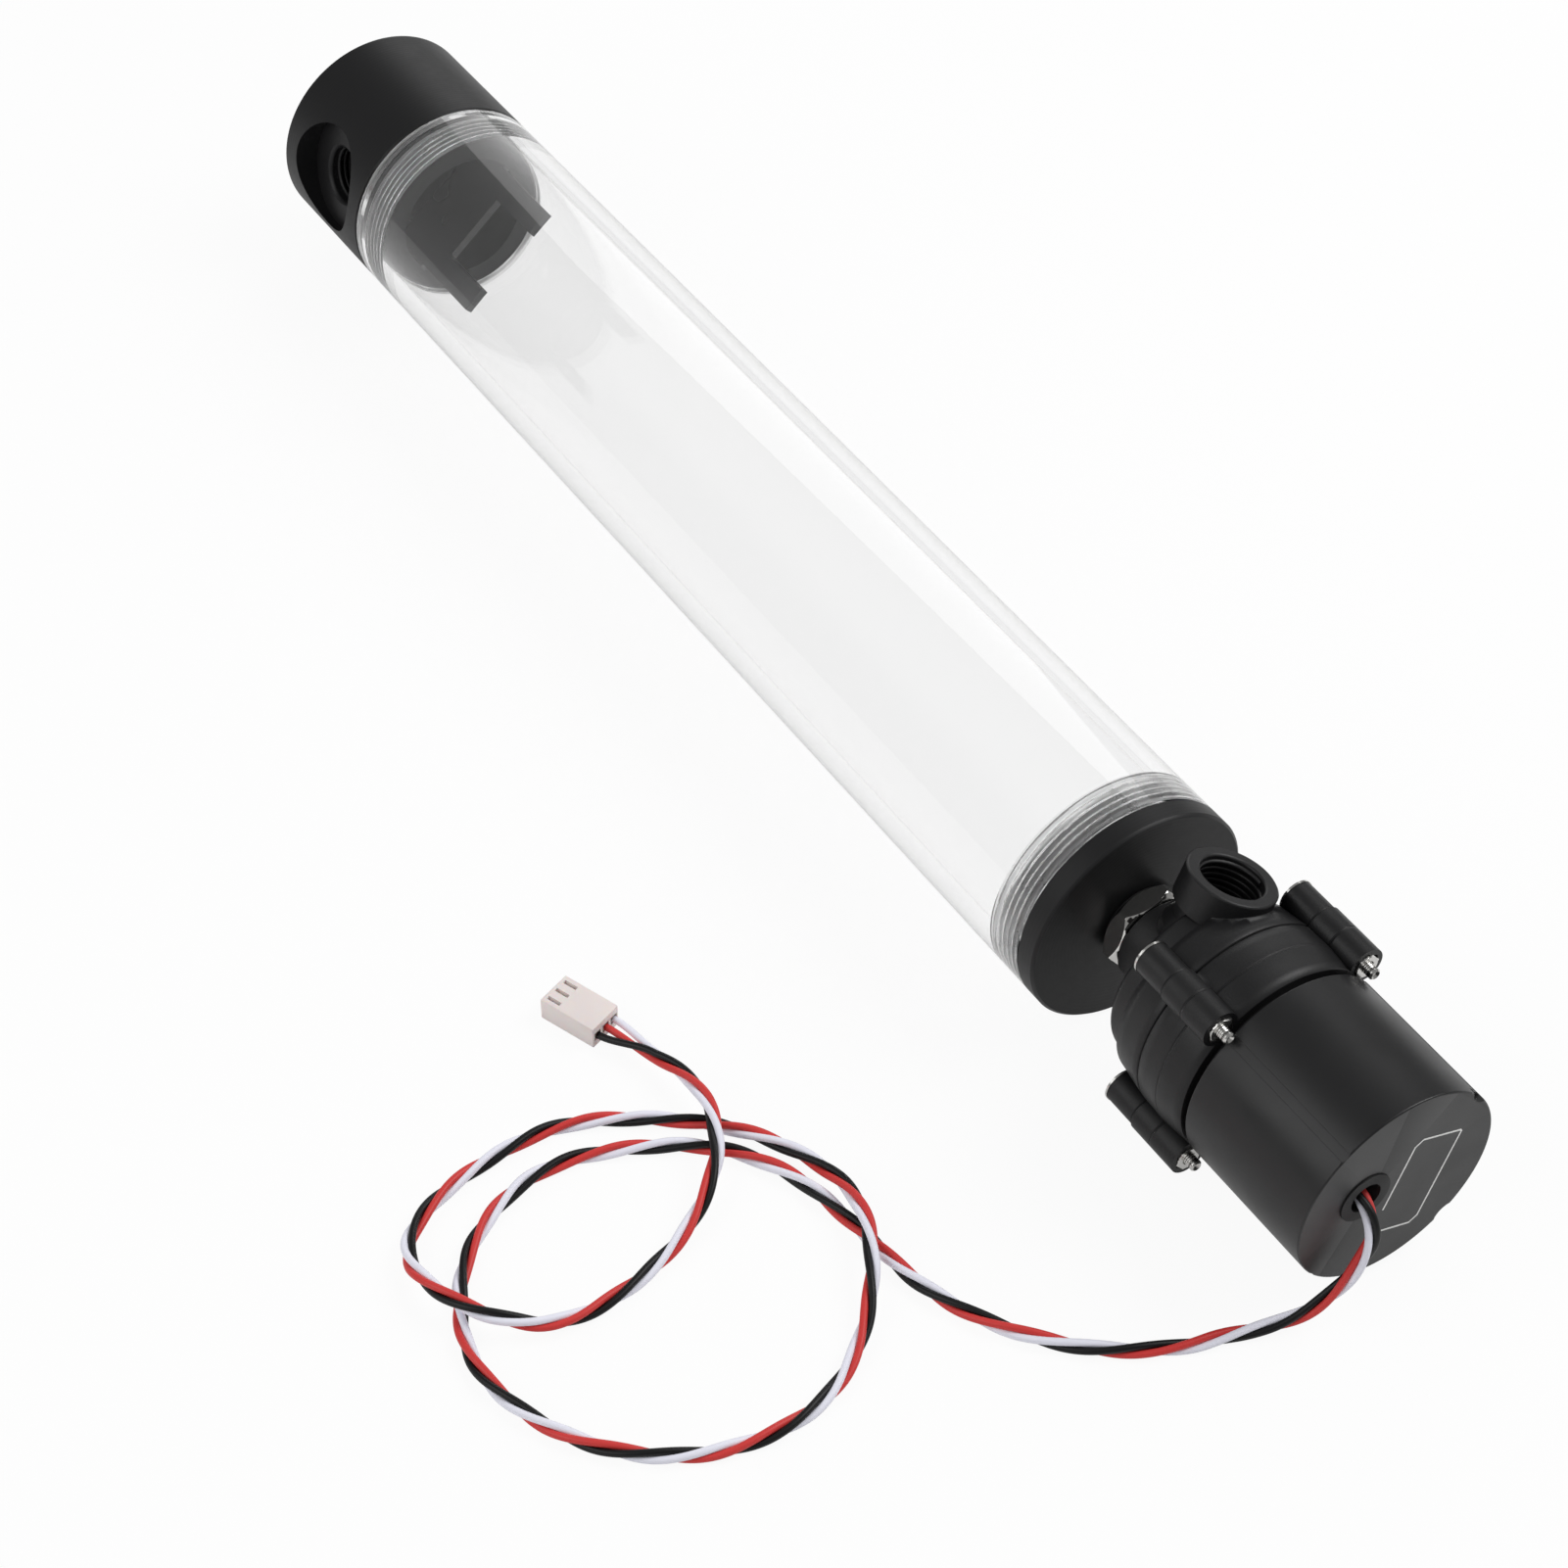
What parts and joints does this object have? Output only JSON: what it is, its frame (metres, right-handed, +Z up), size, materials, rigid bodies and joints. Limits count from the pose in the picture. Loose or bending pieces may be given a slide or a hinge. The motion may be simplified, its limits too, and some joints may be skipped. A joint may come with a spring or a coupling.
{
  "type": "coolant pump reservoir",
  "caption": "Clear tube reservoir between two black screwed caps, with a canned rotor pump on a nipple at one end and a loose lead with a small plug.",
  "frame": {"origin": "on the floor under the middle of the object, the lead and plug left out", "axes": "+X along the tube towards the motor, +Z up as it lies, +Y away from the lead"},
  "size_m": [0.3915, 0.1787, 0.051],
  "materials": {
    "clear_acrylic": "clear gloss",
    "black_acetal": "matte turned",
    "nickel_plate": "bright nickel plated brass",
    "black_rubber": "matte",
    "plug_acetal": "satin",
    "pump_plastic": "satin moulded",
    "can_plastic": "satin moulded, laser marked",
    "steel_screw": "zinc plated",
    "ceramic": "polished",
    "carbon_bush": "matte graphite",
    "rotor_plastic": "satin moulded",
    "ferrite": "ground",
    "laminated_steel": "laminated",
    "copper_wire": "enamelled copper",
    "circuit_board": "solder mask",
    "components": "moulded",
    "lead_wire": "smooth insulation, one white, one red and one black wire",
    "nylon": "moulded off-white",
    "tin_contact": "stamped"
  },
  "bodies": {
    "reservoir": {"tube": "clear_acrylic", "bottom_cap": "black_acetal", "bottom_cap_seal": "black_rubber", "nipple": "nickel_plate", "nipple_seal_tank": "black_rubber", "nipple_seal_pump": "black_rubber", "pump_front_cover": "pump_plastic", "casing_seal": "black_rubber", "pump_body": "pump_plastic", "motor_can": "can_plastic", "cable_grommet": "black_rubber", "casing_screws": "steel_screw", "casing_nuts": "steel_screw", "shaft": "ceramic", "front_thrust_washer": "ceramic", "rear_thrust_washer": "ceramic", "stator_core": "laminated_steel", "stator_coils": "copper_wire", "driver_board": "circuit_board", "board_components": "components", "cord": "lead_wire", "plug_housing": "nylon", "crimp_contacts": "tin_contact"},
    "cap_seal": {"top_cap_seal": "black_rubber"},
    "cap": {"top_cap": "black_acetal", "anti_vortex_plate": "black_acetal"},
    "fill_seal": {"fill_plug_seal": "black_rubber"},
    "filler": {"fill_plug": "plug_acetal"},
    "rotor": {"impeller": "rotor_plastic", "rotor_magnet": "ferrite", "front_bushing": "carbon_bush", "rear_bushing": "carbon_bush"}
  },
  "joints": [
    {"name": "rotor_spin", "type": "hinge", "parent": "reservoir", "child": "rotor", "pos_m": [0.15452, 0, 0.025], "axis": [1, 0, 0], "continuous": true},
    {"name": "top_cap_lift", "type": "slide", "parent": "reservoir", "child": "cap_seal", "axis": [-1, 0, 0], "range_m": [0, 0.009]},
    {"name": "top_cap_turn", "type": "hinge", "parent": "cap_seal", "child": "cap", "pos_m": [-0.15673, 0, 0.025], "axis": [-1, 0, 0], "range_deg": [0, 2160]},
    {"name": "fill_plug_lift", "type": "slide", "parent": "cap", "child": "fill_seal", "axis": [-1, 0, 0], "range_m": [0, 0.0076]},
    {"name": "fill_plug_turn", "type": "hinge", "parent": "fill_seal", "child": "filler", "pos_m": [-0.19262, 0, 0.025], "axis": [-1, 0, 0], "range_deg": [0, 2047]}
  ],
  "couplings": [
    {"joint": "top_cap_lift", "follows": "top_cap_turn", "m_per_rad": 0.00023873},
    {"joint": "fill_plug_turn", "follows": "fill_plug_lift", "rad_per_m": 4699.5}
  ]
}
